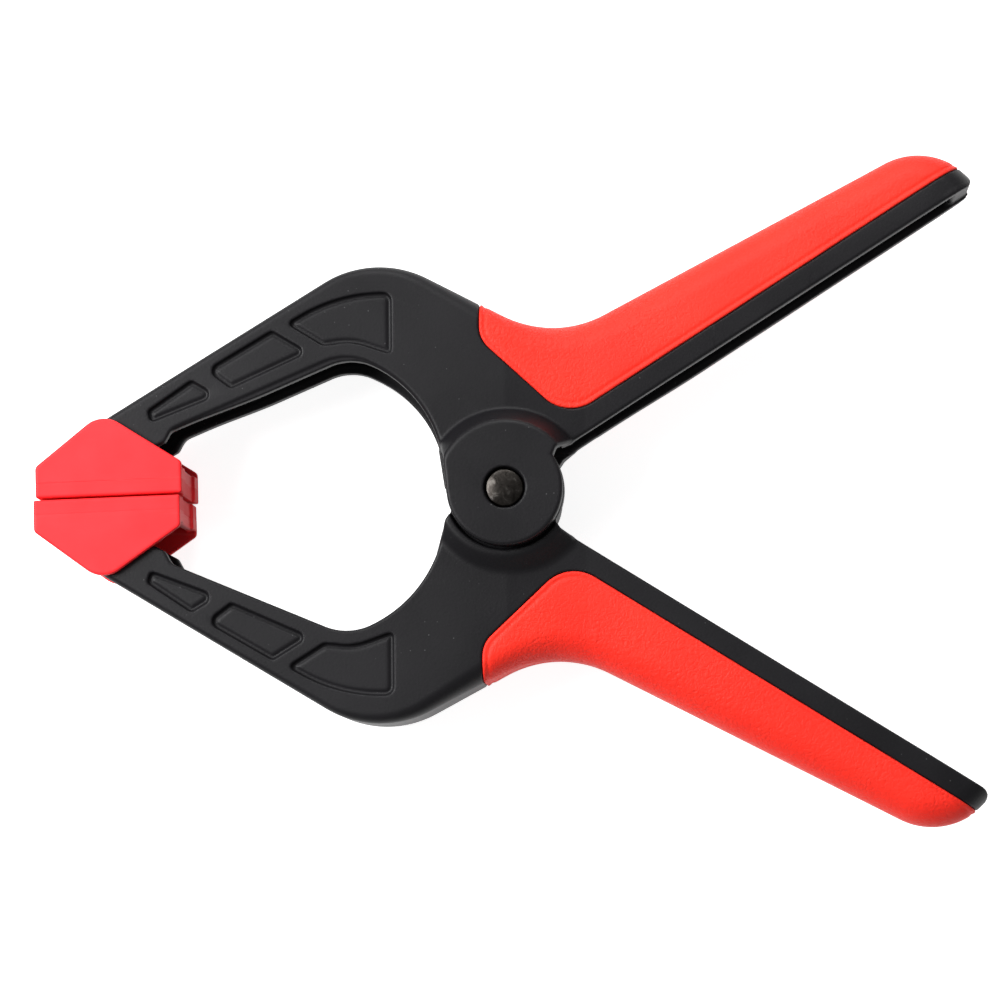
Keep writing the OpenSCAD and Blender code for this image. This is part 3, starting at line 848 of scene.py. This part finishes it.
def spring_material():
    s = Shader("spring_steel")
    drawn = s.noise(0.5, 4, 0.6, 0.3, (1.0, 1.0, 0.25))
    stain = s.noise(3, 3, 0.55)
    colour = s.ramp(stain, [(0.3, (0.2, 0.195, 0.19)), (0.7, (0.36, 0.355, 0.35))])
    rough = s.range(drawn, 0.3, 0.7, 0.26, 0.42)
    normal = s.bump(drawn, 0.012, 0.6)
    return s.set(Base_Color=colour, Metallic=1.0, Roughness=rough, Normal=normal)


NYLON = nylon_material()
GRIP = grip_material()
PAD = pad_material("pad_plastic", 0.0)
FACING = pad_material("pad_facing_rubber", 0.08)
GUNMETAL = pin_material()
STEEL = spring_material()


def dress(obj, material):
    obj.data.materials.clear()
    obj.data.materials.append(material)
    return obj


# ---- Arms and grips ----------------------------------------------------------------------------

for side, own_r, other_r, pocket, place in (
    ("upper", UPPER_DISC_R, LOWER_DISC_R, False, None),
    ("lower", LOWER_DISC_R, UPPER_DISC_R, True, TURNED_OVER),
):
    nylon, grip, low = arm_fields(own_r, other_r, pocket, PITCH)
    body = dress(moulding(f"{side}_arm_moulding", nylon, low, PITCH, MOST_ARM, place), NYLON)
    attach(body, f"{side}_arm")
    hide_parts(f"{side}_arm")
    cover = dress(moulding(f"{side}_grip_overmould", grip, low, PITCH, MOST_GRIP, place), GRIP)
    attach(cover, f"{side}_arm")
    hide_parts(f"{side}_grip")
    del nylon, grip

# ---- Pads --------------------------------------------------------------------------------------

# the pad's own frame has its origin on the pin, and its gripping face looks along -Y
PAD_T = 22.5
PAD_BACK = -14.4
PAD_FRONT = 15.6
SHOULDER = -3.4
PAD_OUTLINE = [
    (PAD_BACK, PAD_FACE, 0.35),
    (PAD_BACK, SHOULDER, 1.1),
    (-0.5, 7.3, 5.6),
    (PAD_FRONT, SHOULDER, 1.1),
    (PAD_FRONT, PAD_FACE, 0.35),
]
SLOT = [(-7, -5.1), (-7, 30), (30, 30), (30, -4.4), (13.6, -4.4), (13.6, -6.0), (2, -5.1)]
SLOT_HALF_W = 9.75
SEAM_LAP = 0.12            # pad and facing overlap by a hair, so that they show as one skin
FACING_INSET = 0.015       # and no two of their faces lie in one plane
END_DEPTH = 0.6
END_HALF_W = 6.0
BORE_HALF_L = 10.7
RAIL_X = -2
RAIL_HALF_L = 9
RAIL_HALF_W = 7
RAIL_H = 0.8
RAIL_ROOT = 0.3            # inside the facing
RAIL_PLAY = 0.1


def pad_fields(pitch):
    """The pad and its facing, as (pad field, facing field, low corner)."""
    low = (-15.0, -10.8, 3.0)
    X, Y, Z = grid(low, (16.5, 8.6, 27.0), pitch)
    W = np.abs(Z - MID_Z)
    outline = polygon_distance(rounded(PAD_OUTLINE), X, Y)
    block = both(deep(outline), W - PAD_T / 2, 0.55)
    seam = PAD_FACE + FACING_T
    carrier = np.maximum(block, deep(seam - SEAM_LAP - Y))
    facing = np.maximum(block + FACING_INSET, deep(Y - seam - SEAM_LAP))
    slot = both(deep(polygon_distance(np.array(SLOT, float), X, Y)), W - SLOT_HALF_W, 0.4)
    carrier = without(carrier, slot, 0.35)
    hollow_end = both(deep(PAD_FRONT - END_DEPTH - X), W - END_HALF_W, 0.3)
    carrier = without(carrier, hollow_end, 0.25)
    facing = without(facing, hollow_end, 0.25)
    bore = np.maximum(deep(np.hypot(X, Y)) - PAD_PIN_HOLE_R, W - BORE_HALF_L)
    carrier = without(carrier, bore)
    # the facing's rail, and its bed in the pad with a little play
    along = np.abs(X - RAIL_X)
    rail = deep(np.maximum(along - RAIL_HALF_L, seam - RAIL_ROOT - Y))
    rail = both(rail, both(deep(Y - seam - RAIL_H), W - RAIL_HALF_W, 0.2), 0.2)
    bed_end = deep(along - (RAIL_HALF_L + RAIL_PLAY))
    bed_top = deep(Y - seam - (RAIL_H + RAIL_PLAY))
    bed = both(bed_end, both(bed_top, W - (RAIL_HALF_W + RAIL_PLAY)))
    return without(carrier, bed), either(facing, rail), low


def pad_place(side):
    """Where the pad's own frame lies, tilted a little against the arm."""
    if side == "upper":
        return Matrix.Translation((*PAD_PIN, 0)) @ Matrix.Rotation(math.radians(PAD_TILT), 4, "Z")
    pin_place = TURNED_OVER @ Matrix.Translation((*PAD_PIN, 0))
    return pin_place @ Matrix.Rotation(math.radians(-PAD_TILT), 4, "Z")


carrier, facing, pad_low = pad_fields(PAD_PITCH)
for side in ("upper", "lower"):
    place = pad_place(side)
    for name, field, material, slot in (
        (f"{side}_pad", carrier, PAD, "pad"),
        (f"{side}_pad_facing", facing, FACING, "pad_facing"),
    ):
        piece = moulding(f"{name}_moulding", field, pad_low, PAD_PITCH, MOST_PAD, place)
        dress(piece, material)
        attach(piece, f"{side}_pad")
        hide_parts(name)

# ---- Turned and wound steel --------------------------------------------------------------------

PAD_PIN_R = 1.5
PAD_PIN_ENDS = (4.4, 25.6)
PAD_PIN_EDGE = 0.3


def lathe(name, profile, material, segments=96):
    """A turned piece from (radius, height) points, closed at the axis where the radius is 0."""
    verts, faces, rings = [], [], []
    for r, z in profile:
        if r <= 0:
            rings.append([len(verts)])
            verts.append((0, 0, z * MM))
            continue
        rings.append(list(range(len(verts), len(verts) + segments)))
        for i in range(segments):
            a = 2 * math.pi * i / segments
            verts.append((r * MM * math.cos(a), r * MM * math.sin(a), z * MM))
    for a, b in zip(rings, rings[1:]):
        for i in range(segments):
            j = (i + 1) % segments
            if len(a) == 1:
                faces.append((a[0], b[j], b[i]))
            elif len(b) == 1:
                faces.append((a[i], a[j], b[0]))
            else:
                faces.append((a[i], a[j], b[j], b[i]))
    return dress(mesh_object(name, verts, faces, True), material)


def arc_profile(cr, cz, radius, start, end, n):
    """Points on an arc about (cr, cz), between two angles in degrees."""
    out = []
    for i in range(n + 1):
        a = math.radians(start + (end - start) * i / n)
        out.append((cr + radius * math.cos(a), cz + radius * math.sin(a)))
    return out


def pin_profile():
    """A straight pin with a flat domed head."""
    foot = arc_profile(3.4, 0.9, 0.5, -90, 0, 5)
    shoulder = arc_profile(3.35, 28.75, 0.55, 0, 72, 7)
    dome = [(3.0, 29.36), (2.4, 29.5), (1.6, 29.62), (0.8, 29.68), (0, 29.7)]
    return [(0, 0.4), (2.6, 0.4)] + foot + shoulder + dome


def pad_pin_profile():
    """A straight pin, rounded at both ends."""
    low, high = PAD_PIN_ENDS
    edge = PAD_PIN_EDGE
    flat_r = PAD_PIN_R - edge
    foot = arc_profile(flat_r, low + edge, edge, -90, 0, 3)
    head = arc_profile(flat_r, high - edge, edge, 0, 90, 3)
    return [(0, low), (flat_r, low)] + foot + head + [(0, high)]


pin = lathe("pivot_pin_turned", pin_profile(), GUNMETAL)
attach(pin, "upper_arm")
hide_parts("pivot_pin")

for side, flip in (("upper", False), ("lower", True)):
    pad_pin = lathe(f"{side}_pad_pin_turned", pad_pin_profile(), GUNMETAL, 48)
    y = -PAD_PIN[1] if flip else PAD_PIN[1]
    pad_pin.data.transform(Matrix.Translation((PAD_PIN[0] * MM, y * MM, 0)))
    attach(pad_pin, "lower_arm" if flip else "upper_arm")
    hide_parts(f"{side}_pad_pin")


def star_ring(name):
    """The push-on ring: a flat rim and ten prongs that lean on the pin."""
    prongs, steps, gap_share = 10, 12, 0.2
    n = prongs * steps
    # radius, low edge and high edge of each row of points, from the outside in
    rim = [(6.2, 0.7, 1.15), (5.9, 0.7, 1.2), (5.0, 0.72, 1.2)]
    prong, gap = (3.95, 0.5, 0.95), (4.95, 0.72, 1.2)
    rows = [[level] * n for level in rim]
    rows.append([gap if (i % steps) / steps < gap_share else prong for i in range(n)])
    verts, faces = [], []
    for row in rows:
        for height in (1, 2):
            for i, level in enumerate(row):
                a = 2 * math.pi * i / n
                verts.append((level[0] * math.cos(a) * MM, level[0] * math.sin(a) * MM, level[height] * MM))
    for k in range(len(rows) - 1):
        a, b = k * 2 * n, (k + 1) * 2 * n
        for i in range(n):
            j = (i + 1) % n
            faces.append((a + i, b + i, b + j, a + j))
            faces.append((a + n + i, a + n + j, b + n + j, b + n + i))
    last = (len(rows) - 1) * 2 * n
    for i in range(n):
        j = (i + 1) % n
        faces.append((i, j, n + j, n + i))
        faces.append((last + i, last + n + i, last + n + j, last + j))
    return dress(mesh_object(name, verts, faces, False), STEEL)


retainer = star_ring("pin_retainer_ring")
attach(retainer, "upper_arm")
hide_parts("pin_retainer")

WIRE_R = 1.2
COIL_R = 6.4
LEG_ANGLE = 41.0
TURNS = 3 + (360 - 2 * (90 + LEG_ANGLE)) / 360
COIL_RISE = 3.0            # in each turn
LEG_L = 44.0
LEG_END_DZ = 3.8           # from the middle plane
LEG_SHARES = [1, 0.97, 0.8, 0.6, 0.4, 0.25, 0.15, 0.08, 0.03]


def spring_leg(root, side, shares):
    """Points at those shares of a leg. side is 1 for the upper handle and -1 for the lower."""
    way = math.radians(LEG_ANGLE)
    end_z = MID_Z + side * LEG_END_DZ
    out = []
    for s in shares:
        x = root[0] + LEG_L * s * math.cos(way)
        y = root[1] + side * LEG_L * s * math.sin(way)
        out.append((x, y, root[2] + (end_z - root[2]) * s))
    return out


def spring_path():
    top = MID_Z + TURNS * COIL_RISE / 2
    n = round(TURNS * 60)
    coil = []
    for i in range(n + 1):
        a = math.radians(90 + LEG_ANGLE + 360 * TURNS * i / n)
        coil.append((COIL_R * math.cos(a), COIL_R * math.sin(a), top - TURNS * COIL_RISE * i / n))
    upper = spring_leg(coil[0], 1, LEG_SHARES)
    lower = spring_leg(coil[-1], -1, LEG_SHARES[::-1])
    return np.array(upper + coil + lower)


def tube(name, path, radius, sides, material):
    """A round wire along the path, with its ends rounded off."""
    lid_size, lid_rise = 0.78, 0.22
    n = len(path)
    verts, faces = [], []
    for i, p in enumerate(path):
        along = unit(path[min(i + 1, n - 1)] - path[max(i - 1, 0)])
        side = unit(np.cross(along, (0, 0, 1)))
        up = np.cross(side, along)
        for j in range(sides):
            a = 2 * math.pi * j / sides
            verts.append(tuple((p + radius * (side * math.cos(a) + up * math.sin(a))) * MM))
    for i in range(n - 1):
        for j in range(sides):
            a, b = i * sides + j, i * sides + (j + 1) % sides
            faces.append((a, b, b + sides, a + sides))
    for end in (0, n - 1):
        along = unit(path[end] - path[1 if end == 0 else n - 2])
        ring = [end * sides + j for j in range(sides)]
        base = np.array([verts[v] for v in ring])
        centre = base.mean(0)
        inner = len(verts)
        for v in base:
            verts.append(tuple(centre + (v - centre) * lid_size + along * radius * lid_rise * MM))
        lid = [inner + j for j in range(sides)]
        for j in range(sides):
            q = (ring[j], ring[(j + 1) % sides], lid[(j + 1) % sides], lid[j])
            faces.append(q if end else q[::-1])
        faces.append(tuple(lid) if end else tuple(lid[::-1]))
    return dress(mesh_object(name, verts, faces, True), material)


spring = tube("torsion_spring_wire", spring_path(), WIRE_R, 18, STEEL)
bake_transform(spring)
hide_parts("torsion_spring")

# ---- Studio ------------------------------------------------------------------------------------

FLOOR_SIZE = 3.0
FLOOR_DROP = 0.0002        # under the clamp, so that no two faces lie in one plane
FLOOR_WHITE = (0.7, 0.7, 0.7)
FLOOR_GLOW = 0.86
WORLD_LIGHT = 0.32         # what the pieces get, where the camera sees 1
LAMP_AIM = (0, 0, MID_Z * MM)


def plain_material(name, colour, strength):
    """A matt white surface that the camera sees as white where nothing shades it."""
    s = Shader(name)
    s.set(Base_Color=colour, Roughness=0.9, Specular_IOR_Level=0.1)
    path = s.tree.nodes.new("ShaderNodeLightPath")
    kinds = ("Camera", "Glossy", "Transmission")
    camera, glossy, through = [path.outputs[f"Is {kind} Ray"] for kind in kinds]
    seen = s.math("MAXIMUM", camera, s.math("MAXIMUM", glossy, through))
    glow = s.node("ShaderNodeEmission", Color=(1, 1, 1, 1), Strength=s.math("MULTIPLY", seen, strength))
    add = s.tree.nodes.new("ShaderNodeAddShader")
    s.link(s.bsdf.outputs[0], add.inputs[0])
    s.link(glow.outputs[0], add.inputs[1])
    s.link(add.outputs[0], s.out.inputs[0])
    return s.material


def floor():
    a = FLOOR_SIZE
    corners = [(-a, -a, 0), (a, -a, 0), (a, a, 0), (-a, a, 0)]
    obj = mesh_object("floor", corners, [(0, 1, 2, 3)], False)
    dress(obj, plain_material("floor_white", FLOOR_WHITE, FLOOR_GLOW))
    obj.location.z = -FLOOR_DROP


def world():
    w = bpy.data.worlds.new("world")
    bpy.context.scene.world = w
    w.use_nodes = True
    t = w.node_tree
    t.nodes.clear()
    out = t.nodes.new("ShaderNodeOutputWorld")
    back = t.nodes.new("ShaderNodeBackground")
    path = t.nodes.new("ShaderNodeLightPath")
    level = t.nodes.new("ShaderNodeMapRange")
    level.inputs["To Min"].default_value = WORLD_LIGHT
    level.inputs["To Max"].default_value = 1.0
    t.links.new(path.outputs["Is Camera Ray"], level.inputs["Value"])
    t.links.new(level.outputs[0], back.inputs["Strength"])
    back.inputs["Color"].default_value = (1, 1, 1, 1)
    t.links.new(back.outputs[0], out.inputs[0])


def lamp(name, place, size, power):
    data = bpy.data.lights.new(name, "AREA")
    data.shape = "RECTANGLE"
    data.size, data.size_y = size
    data.energy = power
    obj = bpy.data.objects.new(name, data)
    obj.location = place
    way = np.subtract(LAMP_AIM, place)
    obj.rotation_mode = "QUATERNION"
    obj.rotation_quaternion = Vector(way).to_track_quat("-Z", "Y")
    bpy.context.scene.collection.objects.link(obj)


floor()
world()
lamp("key", (-0.46, 0.12, 0.51), (0.35, 0.35), 6.6)
lamp("top", (0.0, 0.75, 0.62), (0.5, 0.5), 5.6)

bpy.context.scene.view_settings.view_transform = "Standard"
